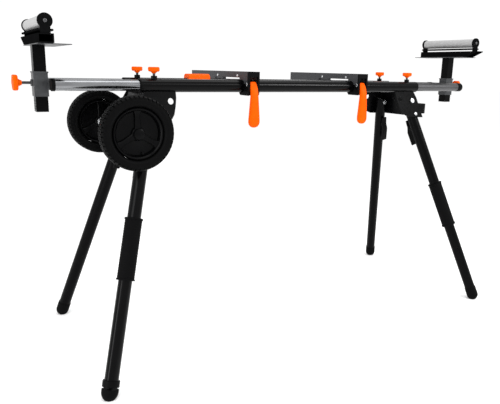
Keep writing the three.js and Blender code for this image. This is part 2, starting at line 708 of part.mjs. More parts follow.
// The cam lever with its pin: a sloping neck and a flat grip that widens to a round end.
function camLever(x0) {
  const middle = x0 + RAIL_WIDTH / 2;
  const half = LEVER_SLOT_WIDTH / 2;
  const side = [
    [LEVER_PIN_Y + 6, LEVER_PIN_Z + 7],
    [LEVER_PIN_Y - 4, LEVER_PIN_Z + 10],
    [LEVER_PIN_Y - 12, LEVER_PIN_Z + 4],
    [LEVER_GRIP_FRONT_Y + 2, LEVER_BEND_Z],
    [LEVER_GRIP_FRONT_Y, LEVER_BEND_Z - 30],
    [LEVER_GRIP_FRONT_Y + 1, LEVER_GRIP_BOTTOM_Z + 12],
    [LEVER_GRIP_FRONT_Y + 6, LEVER_GRIP_BOTTOM_Z],
    [LEVER_GRIP_BACK_Y - 5, LEVER_GRIP_BOTTOM_Z],
    [LEVER_GRIP_BACK_Y, LEVER_GRIP_BOTTOM_Z + 8],
    [LEVER_GRIP_BACK_Y - 1, LEVER_BEND_Z - 10],
    [LEVER_PIN_Y, LEVER_PIN_Z - 10],
    [LEVER_PIN_Y + 8, LEVER_PIN_Z - 4],
  ];
  const endZ = LEVER_GRIP_BOTTOM_Z + LEVER_END_RADIUS;
  const front = [
    [middle - half, LEVER_PIN_Z + 12],
    [middle - half, LEVER_BEND_Z],
    ...arc(middle, endZ, LEVER_END_RADIUS, 180, 360, 8),
    [middle + half, LEVER_BEND_Z],
    [middle + half, LEVER_PIN_Z + 12],
  ];
  const body = slabYZ(side, middle - 25, middle + 25).intersect(slabXZ(front, -160, -80));
  const reach = CLAMP_WIDTH / 2 + 3;
  const pinCentre = [0, LEVER_PIN_Y, LEVER_PIN_Z];
  return body.add(rod('x', LEVER_PIN_RADIUS, middle - reach, middle + reach, pinCentre, 12));
}

// ---------------------------------------------------------------- wheels and handles

function tyre() {
  const half = WHEEL_WIDTH / 2;
  return turned([
    [RIM_RADIUS + GAP, -RIM_HALF_WIDTH],
    [RIM_RADIUS + 9, -half],
    [WHEEL_RADIUS - 8, -half],
    [WHEEL_RADIUS, -half + 9],
    [WHEEL_RADIUS, half - 9],
    [WHEEL_RADIUS - 8, half],
    [RIM_RADIUS + 9, half],
    [RIM_RADIUS + GAP, RIM_HALF_WIDTH],
    [RIM_RADIUS + GAP, -RIM_HALF_WIDTH],
  ], WHEEL_SEGMENTS);
}

function hub() {
  return turned([
    [AXLE_RADIUS + GAP, -HUB_HALF_WIDTH],
    [HUB_RADIUS, -HUB_HALF_WIDTH],
    [HUB_RADIUS, -HUB_DISC_HALF_WIDTH],
    [RIM_RADIUS - 7, -HUB_DISC_HALF_WIDTH],
    [RIM_RADIUS - 5, -RIM_HALF_WIDTH],
    [RIM_RADIUS, -RIM_HALF_WIDTH],
    [RIM_RADIUS, RIM_HALF_WIDTH],
    [RIM_RADIUS - 5, RIM_HALF_WIDTH],
    [RIM_RADIUS - 7, HUB_DISC_HALF_WIDTH],
    [HUB_RADIUS, HUB_DISC_HALF_WIDTH],
    [HUB_RADIUS, HUB_HALF_WIDTH],
    [AXLE_RADIUS + GAP, HUB_HALF_WIDTH],
    [AXLE_RADIUS + GAP, -HUB_HALF_WIDTH],
  ], WHEEL_SEGMENTS);
}

function wheelAxle() {
  const inner = WHEEL_Y - HUB_HALF_WIDTH - 2;
  const outer = WHEEL_Y + HUB_HALF_WIDTH + 1;
  const spot = [WHEEL_X, 0, WHEEL_Z];
  const bars = [rod('y', AXLE_RADIUS, -outer - 6, outer + 6, spot)];
  for (const ySign of [-1, 1]) {
    const nut = [ySign * outer, ySign * (outer + 7)].sort((a, b) => a - b);
    const collar = [ySign * (inner - 5), ySign * (inner + 1)].sort((a, b) => a - b);
    bars.push(rod('y', 13, ...nut, spot, 6));
    bars.push(rod('y', 12, ...collar, spot, 16));
  }
  return union(...bars);
}

// The pull handle at the end away from the wheels: a flat U bolted to the cross plate.
function pullHandle() {
  const width = HANDLE_HALF_WIDTH;
  const loopWidth = width - HANDLE_BAR;
  const loopEnd = HANDLE_OUTER_X - HANDLE_BAR;
  const corner = HANDLE_CORNER;
  const loopCorner = HANDLE_LOOP_CORNER;
  const inner = crossPlateX(HANDLE_TOP_Z);
  const outline = [
    [inner, -width],
    ...arc(HANDLE_OUTER_X - corner, -width + corner, corner, -90, 0, 6),
    ...arc(HANDLE_OUTER_X - corner, width - corner, corner, 0, 90, 6),
    [inner, width],
  ];
  const loop = [
    [HANDLE_LOOP_X, -loopWidth],
    ...arc(loopEnd - loopCorner, -loopWidth + loopCorner, loopCorner, -90, 0, 4),
    ...arc(loopEnd - loopCorner, loopWidth - loopCorner, loopCorner, 0, 90, 4),
    [HANDLE_LOOP_X, loopWidth],
  ];
  const low = HANDLE_BOTTOM_Z - 1;
  const high = HANDLE_TOP_Z + 1;
  const clear = CROSS_PLATE_THICKNESS + GAP;
  const behind = [
    [400, low],
    [crossPlateX(low) + clear, low],
    [crossPlateX(high) + clear, high],
    [400, high],
  ];
  return cut(
    slabXY(outline, HANDLE_BOTTOM_Z, HANDLE_TOP_Z),
    slabXY(loop, low, high),
    slabXZ(behind, -100, 100),
  );
}

// A moulded hand grip that clips over the rear beam tube.
function carryGrip() {
  const [x0, x1] = CARRY_GRIP_X;
  const half = BEAM_TUBE_RADIUS + 4;
  const y0 = BEAM_TUBE_Y - half;
  const y1 = BEAM_TUBE_Y + half;
  const profile = [
    [y0, BEAM_Z - 5],
    [y1, BEAM_Z - 5],
    [y1, BEAM_Z + 18],
    ...arc(y1 - 14, CARRY_GRIP_TOP_Z - 14, 14, 20, 90, 4),
    ...arc(y0 + 14, CARRY_GRIP_TOP_Z - 14, 14, 90, 160, 4),
    [y0, BEAM_Z + 18],
  ];
  return cut(
    slabYZ(profile, x0, x1),
    rod('x', BEAM_TUBE_RADIUS + GAP, x0 - 1, x1 + 1, [0, BEAM_TUBE_Y, BEAM_Z], SEGMENTS),
  );
}

// ---------------------------------------------------------------- assembly

for (const [side, ySign] of SIDES) {
  addPart(stand, `beam_tube_${side}`, beamTube(ySign), blackCoat);
}
addPart(stand, 'carry_grip', carryGrip(), orangePlastic);
addPart(stand, 'wheel_axle', wheelAxle(), boltSteel);
addPart(stand, 'pull_handle', pullHandle(), blackPlastic);

for (const [end, xSign] of ENDS) {
  addPart(stand, `cross_plate_${end}`, crossPlate(end), blackCoat);
  addPart(stand, `arm_yoke_${end}`, armYoke(xSign), zinc);
  addPart(stand, `roller_post_${end}`, post(end, xSign), blackCoat);

  for (const [side, ySign] of SIDES) {
    const name = `${end}_${side}`;
    addPart(stand, `housing_plate_${name}`, housingPlate(end, ySign), blackCoat);

    const armRange = [xSign * ARM_INNER_END, xSign * ARM_OUTER_END[end]].sort((a, b) => a - b);
    const armCentre = [0, ySign * BEAM_TUBE_Y, BEAM_Z];
    const arm = pipe('x', ARM_RADIUS, ARM_RADIUS - ARM_WALL, ...armRange, armCentre);
    addPart(stand, `arm_tube_${name}`, arm, armSteel[end]);

    const tip = BEAM_Z + ARM_RADIUS + GAP;
    const knobShape = studKnob(ARM_KNOB_RADIUS, ARM_KNOB_NECK, ARM_KNOB_TOP_Z - tip);
    const knob = addPart(stand, `arm_knob_${name}`, knobShape, orangePlastic);
    knob.position.set(xSign * ARM_KNOB_X, ySign * BEAM_TUBE_Y, tip);

    const frame = legFrame(end, xSign, ySign);
    const levels = end === 'left' && side === 'front';
    const tubeEnd = levels ? LEVELLER_COLLAR_BOTTOM_Z + 6 * LEG_UP.z + GAP : FOOT_CENTRE_Z;
    addPart(frame, `leg_tube_${name}`, legTube(end, legDrop(end, tubeEnd) - GAP), blackCoat);
    addPart(frame, `leg_pivot_bolt_${name}`, pivotBolt(), boltSteel);
    addPart(frame, `leg_lock_lever_${name}`, lockLever(), blackPlastic);
    if (levels) {
      addPart(frame, 'leveller_collar', levellerCollar(end), blackPlastic);
      addPart(frame, 'levelling_foot', levellingFoot(end, frame), rubber);
    } else {
      addPart(frame, `foot_cap_${name}`, footCap(end, frame), rubber);
    }
    if (side === 'front') addPart(frame, `leg_grip_${end}`, handGrip(end), rubber);
  }

  const postKnobTip = POST_X + POST_SIDE / 2 + GAP;
  const postKnobShape = studKnob(POST_KNOB_RADIUS, POST_KNOB_NECK, POST_KNOB_OUTER_X - postKnobTip);
  const postKnob = addPart(stand, `post_knob_${end}`, postKnobShape, orangePlastic);
  postKnob.position.set(xSign * postKnobTip, 0, POST_KNOB_Z);
  postKnob.rotation.y = (xSign * Math.PI) / 2;

  // The two roller heads are one part; the left head is turned half a turn about the post.
  const head = new THREE.Group();
  head.position.set(xSign * POST_X, 0, ROLLER_Z[end]);
  head.rotation.z = end === 'left' ? Math.PI : 0;
  stand.add(head);
  addPart(head, `roller_cradle_${end}`, cradle(), blackCoat);
  addPart(head, `roller_${end}`, roller(), rollerSkin);
  addPart(head, `ledge_plate_${end}`, ledgePlate(), zinc);

  addPart(stand, `saw_rail_${end}`, rail(RAIL_X[end]), darkSheet);
  addPart(stand, `rail_clamp_${end}`, clampBody(RAIL_X[end]), blackPlastic);
  addPart(stand, `clamp_lever_${end}`, camLever(RAIL_X[end]), orangePlastic);
}

for (const [side, ySign] of SIDES) {
  for (const [piece, make, material] of [['tyre', tyre, rubber], ['wheel_hub', hub, blackPlastic]]) {
    const part = addPart(stand, `${piece}_${side}`, make(), material);
    part.position.set(WHEEL_X, ySign * WHEEL_Y, WHEEL_Z);
    part.rotation.x = Math.PI / 2;
  }
}

export default stand;
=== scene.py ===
"""How a folding, rolling stand for a miter saw looks: its materials, fine surfaces and
small trim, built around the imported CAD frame. Lengths are in metres."""

import json
import math

import bmesh
import bpy
from mathutils import Matrix, Vector


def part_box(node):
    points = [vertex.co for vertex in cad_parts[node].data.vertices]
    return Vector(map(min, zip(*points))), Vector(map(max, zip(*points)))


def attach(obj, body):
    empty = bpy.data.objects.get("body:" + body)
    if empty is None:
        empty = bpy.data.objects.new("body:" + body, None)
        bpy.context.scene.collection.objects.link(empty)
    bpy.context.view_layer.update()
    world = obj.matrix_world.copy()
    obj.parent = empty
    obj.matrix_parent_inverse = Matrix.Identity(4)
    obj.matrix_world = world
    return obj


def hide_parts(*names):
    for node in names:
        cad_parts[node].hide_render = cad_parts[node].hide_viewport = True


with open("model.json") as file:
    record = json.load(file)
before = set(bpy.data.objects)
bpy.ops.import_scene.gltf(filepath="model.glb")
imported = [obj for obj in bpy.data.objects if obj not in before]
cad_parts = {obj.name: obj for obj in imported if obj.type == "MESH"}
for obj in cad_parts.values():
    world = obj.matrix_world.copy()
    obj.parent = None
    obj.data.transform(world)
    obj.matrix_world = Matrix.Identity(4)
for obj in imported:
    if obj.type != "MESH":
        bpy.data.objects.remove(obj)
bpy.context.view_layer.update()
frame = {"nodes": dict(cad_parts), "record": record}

MM = 0.001
ENDS = (("left", -1), ("right", 1))
SIDES = (("front", -1), ("rear", 1))
BODY_OF = {
    node: body
    for body, nodes in frame["record"]["behaviour"]["bodies"].items()
    for node in nodes
}

# ---------------------------------------------------------------- dimensions

BEAM_Y = 74 * MM
BEAM_Z = 805 * MM
BEAM_END = 534 * MM
ARM_END = {"left": 772 * MM, "right": 781 * MM}
POST_X = 787 * MM
POST_SIDE = 32 * MM
ROLLER_Z = {"left": 961 * MM, "right": 973 * MM}
EAR_OUTER_Y = 129.5 * MM
KNOB_DISC = 13 * MM
KNOB_LOBES = 6
KNOB_LOBE_DEPTH = 2.4 * MM
THREAD_RADIUS = 3.9 * MM
THREAD_ROOT_RADIUS = 3.5 * MM
THREAD_PITCH = 1.25 * MM
ARM_KNOB_NECK = 5 * MM
ARM_KNOB_NECK_RADIUS = 6 * MM
POST_KNOB_NECK = 10 * MM
POST_KNOB_NECK_RADIUS = 7 * MM
POST_PLUG_HALF = 13.8 * MM
POST_MARKS = 4
POST_MARK_STEP = 7 * MM
POST_MARK_HEIGHT = 1.6 * MM
RAIL_SCREW_Z = 836 * MM
RAIL_SCREW_Y = (("front", -48 * MM), ("rear", 90 * MM))
LEG_UP = Vector((-0.2625, -0.2857, 0.9219)).normalized()
LEG_REFERENCE = Vector((504, 69, 755)) * MM

# ---------------------------------------------------------------- materials

# the noise values between which a finish drifts from its darker to its lighter end
NOISE_LOW, NOISE_HIGH = 0.3, 0.7
RELIEF_GRAIN = 900.0
RELIEF_DEPTH = 0.2 * MM


def procedural(name, colour, roughness, metallic=0.0, specular=0.5, shade=0.15,
               grain=90.0, stretch=(1, 1, 1), spread=0.06, relief=0.1):
    """A noise-driven finish: its colour and gloss drift slightly and its surface has a grain."""
    material = bpy.data.materials.new(name)
    material.use_nodes = True
    nodes = material.node_tree.nodes
    links = material.node_tree.links
    shader = nodes["Principled BSDF"]
    shader.inputs["Metallic"].default_value = metallic
    shader.inputs["Specular IOR Level"].default_value = specular

    coords = nodes.new("ShaderNodeTexCoord")
    mapping = nodes.new("ShaderNodeMapping")
    mapping.inputs["Scale"].default_value = stretch
    links.new(coords.outputs["Object"], mapping.inputs["Vector"])

    drift = nodes.new("ShaderNodeTexNoise")
    drift.inputs["Scale"].default_value = grain
    drift.inputs["Detail"].default_value = 4.0
    links.new(mapping.outputs["Vector"], drift.inputs["Vector"])

    tint = nodes.new("ShaderNodeValToRGB")
    tint.color_ramp.elements[0].position = NOISE_LOW
    tint.color_ramp.elements[1].position = NOISE_HIGH
    tint.color_ramp.elements[0].color = (*[c * (1 - shade) for c in colour], 1)
    tint.color_ramp.elements[1].color = (*[min(1, c * (1 + shade)) for c in colour], 1)
    links.new(drift.outputs["Fac"], tint.inputs["Fac"])
    links.new(tint.outputs["Color"], shader.inputs["Base Color"])

    gloss = nodes.new("ShaderNodeMapRange")
    gloss.inputs["From Min"].default_value = NOISE_LOW
    gloss.inputs["From Max"].default_value = NOISE_HIGH
    gloss.inputs["To Min"].default_value = roughness - spread
    gloss.inputs["To Max"].default_value = roughness + spread
    links.new(drift.outputs["Fac"], gloss.inputs["Value"])
    links.new(gloss.outputs["Result"], shader.inputs["Roughness"])

    fine = nodes.new("ShaderNodeTexNoise")
    fine.inputs["Scale"].default_value = RELIEF_GRAIN
    links.new(mapping.outputs["Vector"], fine.inputs["Vector"])
    bump = nodes.new("ShaderNodeBump")
    bump.inputs["Strength"].default_value = relief
    bump.inputs["Distance"].default_value = RELIEF_DEPTH
    links.new(fine.outputs["Fac"], bump.inputs["Height"])
    links.new(bump.outputs["Normal"], shader.inputs["Normal"])
    return material


FINISHES = {
    "black_coat": procedural("black_coat", (0.0012, 0.0012, 0.0014), 0.3, specular=0.05),
    "gloss_coat": procedural(
        "gloss_coat", (0.001, 0.001, 0.0012), 0.2, specular=0.09, spread=0.03, relief=0.02),
    "matt_coat": procedural("matt_coat", (0.004, 0.004, 0.0042), 0.6, specular=0.0),
    "grey_coat": procedural("grey_coat", (0.035, 0.036, 0.039), 0.45, metallic=0.2, specular=0.25),
    "zinc": procedural(
        "zinc", (0.062, 0.064, 0.067), 0.4, metallic=0.65, specular=0.15, shade=0.2, grain=60.0),
    "polished_steel": procedural(
        "polished_steel", (0.24, 0.245, 0.255), 0.2,
        metallic=1.0, shade=0.14, grain=40.0, stretch=(0.3, 1, 1)),
    "dull_steel": procedural(
        "dull_steel", (0.085, 0.085, 0.088), 0.36, metallic=0.9, shade=0.15, stretch=(0.2, 1, 1)),
    "roller_shell": procedural("roller_shell", (0.36, 0.36, 0.36), 0.42, metallic=0.25, shade=0.05),
    "orange_plastic": procedural("orange_plastic", (0.8, 0.085, 0.0), 0.42, specular=0.04, shade=0.08),
    "black_plastic": procedural("black_plastic", (0.0015, 0.0015, 0.0017), 0.5, specular=0.05),
    "hub_plastic": procedural("hub_plastic", (0.0008, 0.0008, 0.001), 0.3, specular=0.07),
    "rubber": procedural("rubber", (0.0018, 0.0018, 0.002), 0.7, specular=0.05, relief=0.25),
    "tyre": procedural("tyre", (0.0012, 0.0012, 0.0013), 0.55, specular=0.05, relief=0.3),
    "bolt_steel": procedural("bolt_steel", (0.6, 0.61, 0.62), 0.28, metallic=1.0, shade=0.1),
}

# nodes whose coat is glossier or duller than the rest of their slot
LOOK_OF = {
    "beam_tube_front": "gloss_coat",
    "beam_tube_rear": "gloss_coat",
    "leg_tube_left_front": "gloss_coat",
    "roller_cradle_left": "matt_coat",
    "roller_cradle_right": "matt_coat",
}
SLOT_OF = {row["node"]: row["material_slot"] for row in frame["record"]["subparts"]}

# ---------------------------------------------------------------- mesh helpers


def smooth(mesh, degrees=35):
    mesh.shade_smooth()
    mesh.set_sharp_from_angle(angle=math.radians(degrees))


def bevel(obj, width, segments=2, degrees=35):
    modifier = obj.modifiers.new("bevel", "BEVEL")
    modifier.width = width
    modifier.segments = segments
    modifier.limit_method = "ANGLE"
    modifier.angle_limit = math.radians(degrees)
    modifier.harden_normals = True


def piece(name, bm, slot, body, edge=0.0, replaces=()):
    """Turns a bmesh drawn in the stand's frame into a finished piece that rides on a body."""
    bmesh.ops.remove_doubles(bm, verts=bm.verts, dist=1e-6)
    bmesh.ops.recalc_face_normals(bm, faces=bm.faces)
    mesh = bpy.data.meshes.new(name)
    bm.to_mesh(mesh)
    bm.free()
    mesh.materials.append(FINISHES[slot])
    obj = bpy.data.objects.new(name, mesh)
    bpy.context.scene.collection.objects.link(obj)
    if edge:
        mesh.shade_smooth()
        bevel(obj, edge)
    else:
        smooth(mesh)
    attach(obj, body)
    if replaces:
        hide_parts(*replaces)
    return obj


def placed(origin, axis):
    """The matrix that puts local +Z along an axis, at an origin."""
    matrix = Vector(axis).to_track_quat("Z", "Y").to_matrix().to_4x4()
    matrix.translation = Vector(origin)
    return matrix


def revolve(bm, profile, place, segments=48, lobes=0, lobe_depth=0.0, lobe_from=0.0):
    """Turns (radius, height) pairs about local Z. Radii over lobe_from dip between the lobes."""
    rings = []
    for i in range(segments):
        angle = 2 * math.pi * i / segments
        dip = lobe_depth * (1 - math.cos(lobes * angle)) / 2
        ring = []
        for radius, height in profile:
            r = radius - dip if radius > lobe_from else radius
            point = Vector((r * math.cos(angle), r * math.sin(angle), height))
            ring.append(bm.verts.new(place @ point))
        rings.append(ring)
    for i in range(segments):
        near, far = rings[i], rings[(i + 1) % segments]
        for j in range(len(profile) - 1):
            corners = [near[j], near[j + 1], far[j + 1], far[j]]
            bm.faces.new(corners)


def lathe(bm, profile, place, segments=48):
    """Turns (radius, height) pairs in millimetres about local Z."""
    revolve(bm, [(r * MM, h * MM) for r, h in profile], place, segments)


def turned(name, profile, place, segments, slot, body, replaces=()):
    """A piece of its own, turned from (radius, height) pairs in millimetres."""
    bm = bmesh.new()
    lathe(bm, profile, place, segments)
    piece(name, bm, slot, body, replaces=replaces)


def mirrored(profile):
    """The closed outline of a half profile and its mirror image below height 0."""
    return profile + [(r, -h) for r, h in reversed(profile)] + [profile[0]]


def bar(bm, low, high):
    """A straight block between two corners."""
    low, high = Vector(low), Vector(high)
    size = high - low
    matrix = Matrix.Translation((low + high) / 2) @ Matrix.Diagonal((*size, 1))
    bmesh.ops.create_cube(bm, size=1, matrix=matrix)


def loft(bm, sections):
    """Joins equal rings of points into one closed skin."""
    rings = [[bm.verts.new(point) for point in section] for section in sections]
    count = len(rings[0])
    for near, far in zip(rings, rings[1:]):
        for i in range(count):
            j = (i + 1) % count
            bm.faces.new([near[i], near[j], far[j], far[i]])
    bm.faces.new(list(reversed(rings[0])))
    bm.faces.new(rings[-1])


def round_bar(profile_radius, start, end, place, bm, segments=24, edge=0.6 * MM):
    """A short solid round bar with softened ends."""
    profile = [
        (0, start),
        (profile_radius - edge, start),
        (profile_radius, start + edge),
        (profile_radius, end - edge),
        (profile_radius - edge, end),
        (0, end),
    ]
    revolve(bm, profile, place, segments)


# ---------------------------------------------------------------- CAD nodes


def dress_node(name, obj):
    """Gives a CAD node its finish, flat faces without seams, and softened edges."""
    mesh = obj.data
    if "custom_normal" in mesh.attributes:
        mesh.attributes.remove(mesh.attributes["custom_normal"])
    mesh.shade_smooth()
    mesh.materials.clear()
    mesh.materials.append(FINISHES[LOOK_OF.get(name, SLOT_OF[name])])
    weld = obj.modifiers.new("weld", "WELD")
    weld.merge_threshold = 0.01 * MM
    flatten = obj.modifiers.new("flatten", "DECIMATE")
    flatten.decimate_type = "DISSOLVE"
    flatten.angle_limit = math.radians(0.5)
    bevel(obj, 0.9 * MM)


for node_name, node in frame["nodes"].items():
    dress_node(node_name, node)

# ---------------------------------------------------------------- wheels

TREAD_BLOCKS = 50
# offset along the tread in block pitches, and the two edges of each row, in millimetres
TREAD_ROWS = (
    (0.0, -23.0, -13.6), (0.5, -12.5, -6.8), (0.0, -5.7, 0.2),
    (0.5, 1.3, 6.8), (0.0, 7.9, 13.1), (0.5, 14.2, 23.0),
)
TREAD_SHOULDER = 18
TREAD_FILL = 0.68
TREAD_BASE, TREAD_TOP = 93.5, 99.6
SHOULDER_BASE, SHOULDER_TOP = 89.0, 95.8
SPOKES = 3
# radius, half width and height of a spoke at each section, in millimetres
SPOKE_SECTIONS = (
    (15.5, 8.5, 13.8), (25, 7.4, 12.6), (42, 6.4, 11.2), (53, 7.2, 11.4), (60.6, 10.5, 12.8),
)
SPOKE_ROOT = 3.0
# how far a spoke's foot spreads, its edge drops and its edge stands in, in millimetres
SPOKE_SPREAD, SPOKE_DROP, SPOKE_INSET = 1.5, 1.2, 1.6


def wheel_place(side, y_sign):
    """Local Z points out of the wheel's face and local Y points up."""
    low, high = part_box(f"tyre_{side}")
    x, y, z = (low + high) / 2
    return Matrix(((-y_sign, 0, 0, x), (0, 0, y_sign, y), (0, 1, 0, z), (0, 0, 0, 1)))


def tread_block(bm, place, start, end, low, high):
    """One tread block, from angle start to end and from width low to high, in millimetres."""
    corners = []
    for angle in (start, end):
        for height, raised in ((low, False), (low, True), (high, True), (high, False)):
            if abs(height) > TREAD_SHOULDER:
                radius = SHOULDER_TOP if raised else SHOULDER_BASE
            else:
                radius = TREAD_TOP if raised else TREAD_BASE
            direction = Vector((math.cos(angle), math.sin(angle), 0))
            point = (direction * radius + Vector((0, 0, height))) * MM
            corners.append(bm.verts.new(place @ point))
    a, b, c, d, e, f, g, h = corners
    for face in ((a, b, c, d), (h, g, f, e), (a, e, f, b), (b, f, g, c), (c, g, h, d), (d, h, e, a)):
        bm.faces.new(face)


def tyre(side, y_sign):
    place = wheel_place(side, y_sign)
    half = [
        (70.4, 12.6), (71.6, 17.6), (74, 20.8), (76.8, 22.8), (78.6, 23.3), (79.9, 22.5),
        (83, 22.9), (87, 23.2), (90.3, 22.8), (93.3, 20.6), (95.3, 16.9), (96.2, 10.9),
    ]
    bm = bmesh.new()
    lathe(bm, mirrored(half), place, 112)
    step = 2 * math.pi / TREAD_BLOCKS
    for i in range(TREAD_BLOCKS):
        for offset, low, high in TREAD_ROWS:
            start = (i + offset) * step
            tread_block(bm, place, start, start + step * TREAD_FILL, low, high)
    piece(f"tyre_with_tread_{side}", bm, "tyre", f"wheel_{side}", replaces=[f"tyre_{side}"])


def hub(side, y_sign):
    place = wheel_place(side, y_sign)
    lip = [
        (57.0, 3.8), (58.6, 8.0), (60.6, 12.6), (62.6, 15.6), (64.6, 17.0), (66.8, 17.0),
        (68.8, 15.4), (69.9, 12.8),
    ]
    dish = [(19.0, 6.0), (30.0, 4.4), (50.0, 3.0), (57.2, 3.8)]
    barrel = [(8.4, 14.4), (15.4, 14.4), (16.6, 13.4), (18.0, 8.0), (20.5, 5.0)]
    bm = bmesh.new()
    lathe(bm, mirrored(lip), place, 96)
    lathe(bm, mirrored(dish), place, 96)
    lathe(bm, mirrored(barrel), place, 48)
    piece(f"wheel_rim_{side}", bm, "hub_plastic", f"wheel_{side}", replaces=[f"wheel_hub_{side}"])

    for face in (1, -1):
        bm = bmesh.new()
        for i in range(SPOKES):
            turn = Matrix.Rotation(math.pi / 2 + 2 * math.pi * i / SPOKES, 4, "Z")
            sections = []
            for radius, half_width, height in SPOKE_SECTIONS:
                low, high = SPOKE_ROOT * face, height * face
                edge = high - SPOKE_DROP * face
                left_side = [
                    (-half_width - SPOKE_SPREAD, low),
                    (-half_width, edge),
                    (-half_width + SPOKE_INSET, high),
                ]
                points = left_side + [(-y, z) for y, z in reversed(left_side)]
                sections.append([place @ turn @ (Vector((radius, y, z)) * MM) for y, z in points])
            loft(bm, sections)
        word = "outer" if face > 0 else "inner"
        piece(f"wheel_spokes_{word}_{side}", bm, "hub_plastic", f"wheel_{side}")

    bm = bmesh.new()
    boss = Matrix.Translation(Vector((12, -53, 0)) * MM)
    round_bar(3.2 * MM, 2 * MM, 12.5 * MM, place @ boss, bm, 20)
    piece(f"wheel_boss_{side}", bm, "hub_plastic", f"wheel_{side}")

    cap = [
        (13.4, 15.2), (14.6, 15.2), (15.0, 15.8), (15.0, 20.4), (14.0, 22.4), (11.6, 23.4), (0, 23.7),
        (0, 22.6), (13.4, 22.6), (13.4, 15.2),
    ]
    turned(f"axle_cap_{side}", cap, place, 40, "hub_plastic", "frame")


for side, y_sign in SIDES:
    tyre(side, y_sign)
    hub(side, y_sign)

# ---------------------------------------------------------------- knobs


def knob(name, node, face, axis, radius, neck, neck_radius):
    """An orange lobed knob with a threaded stud. face is the middle of its outer face."""
    place = placed(face, axis)
    disc = KNOB_DISC
    profile = [
        (0, -1.4 * MM),
        (radius * 0.52, -1.4 * MM),
        (radius * 0.58, -0.2 * MM),
        (radius - 4 * MM, 0),
        (radius - 1.4 * MM, -0.6 * MM),
        (radius - 0.2 * MM, -2 * MM),
        (radius, -4 * MM),
        (radius - 0.2 * MM, -disc + 3 * MM),
        (radius - 1.6 * MM, -disc + 0.8 * MM),
        (radius - 4 * MM, -disc),
        (neck_radius + 4 * MM, -disc),
        (neck_radius + 0.8 * MM, -disc - neck * 0.55),
        (neck_radius - 1.2 * MM, -disc - neck),
        (0, -disc - neck),
    ]
    bm = bmesh.new()
    revolve(bm, profile, place, 72, KNOB_LOBES, KNOB_LOBE_DEPTH, lobe_from=radius * 0.75)
    piece(name, bm, "orange_plastic", BODY_OF[node], replaces=[node])

    low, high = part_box(node)
    length = abs((high - low).dot(Vector(axis)))
    thread = []
    height = -disc - neck
    while height > -length + 1 * MM:
        thread.append((THREAD_RADIUS, height))
        thread.append((THREAD_RADIUS, height - 0.5 * MM))
        thread.append((THREAD_ROOT_RADIUS, height - 0.8 * MM))
        height -= THREAD_PITCH
    profile = [(0, -disc), (THREAD_RADIUS, -disc), *thread, (3 * MM, height), (0, height - 0.3 * MM)]
    bm = bmesh.new()
    revolve(bm, profile, place, 20)
    piece(name.replace("knob", "stud"), bm, "dull_steel", BODY_OF[node])


for end, x_sign in ENDS:
    for side, y_sign in SIDES:
        node_name = f"arm_knob_{end}_{side}"
        low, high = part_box(node_name)
        top = ((low.x + high.x) / 2, (low.y + high.y) / 2, high.z)
        radius = (high.x - low.x) / 2
        knob(f"clamp_knob_{end}_{side}", node_name, top, (0, 0, 1), radius,
             ARM_KNOB_NECK, ARM_KNOB_NECK_RADIUS)
    node_name = f"post_knob_{end}"
    low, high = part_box(node_name)
    outer = (low.x if x_sign < 0 else high.x, 0, (low.z + high.z) / 2)
    radius = (high.z - low.z) / 2
    knob(f"height_knob_{end}", node_name, outer, (x_sign, 0, 0), radius,
         POST_KNOB_NECK, POST_KNOB_NECK_RADIUS)

# ---------------------------------------------------------------- clamp levers

LEVER_PIN_Y = -108 * MM
LEVER_PIN_Z = 811 * MM
PIN_RADIUS = 3.4 * MM
PIN_HEAD_RADIUS = 5.2 * MM
PIN_HALF_LENGTH = 22 * MM
PIN_HEAD_START = 19.3 * MM
# y, z, lean from level in degrees, width and thickness of each section, in millimetres
LEVER_SECTIONS = (
    (-102.5, 814.0, -30, 14, 7),
    (-104.5, 814.2, -32, 20, 12),
    (-108.0, 812.5, -40, 23.4, 15.5),
    (-113.5, 806.0, -58, 23.6, 14.5),
    (-118.0, 797.0, -68, 23.8, 14.8),
    (-121.0, 786.0, -80, 24.0, 15.8),
    (-122.0, 776.0, -88, 24.6, 17.2),
    (-122.2, 760.0, -90, 27.2, 18.2),
    (-122.2, 740.0, -90, 30.6, 18.6),
    (-122.2, 720.0, -90, 34.0, 18.8),
    (-122.0, 704.0, -90, 36.8, 18.4),
    (-122.0, 696.0, -90, 37.2, 17.6),
    (-121.8, 689.5, -90, 33.6, 16.0),
    (-121.7, 684.8, -90, 26.6, 13.6),
    (-121.6, 681.6, -90, 17.6, 10.0),
    (-121.6, 680.4, -90, 8.0, 5.0),
)


def rounded_section(centre, lean, width, thickness, points=28, power=3.2):
    """A rounded rectangle across a path that leans by an angle in the y-z plane."""
    angle = math.radians(lean)
    normal = Vector((0, math.sin(angle), math.cos(angle)))
    section = []
    for i in range(points):
        t = 2 * math.pi * i / points
        c, s = math.cos(t), math.sin(t)
        x = math.copysign(abs(c) ** (2 / power), c) * width / 2
        n = math.copysign(abs(s) ** (2 / power), s) * thickness / 2
        section.append(centre + Vector((x, 0, 0)) + normal * n)
    return section


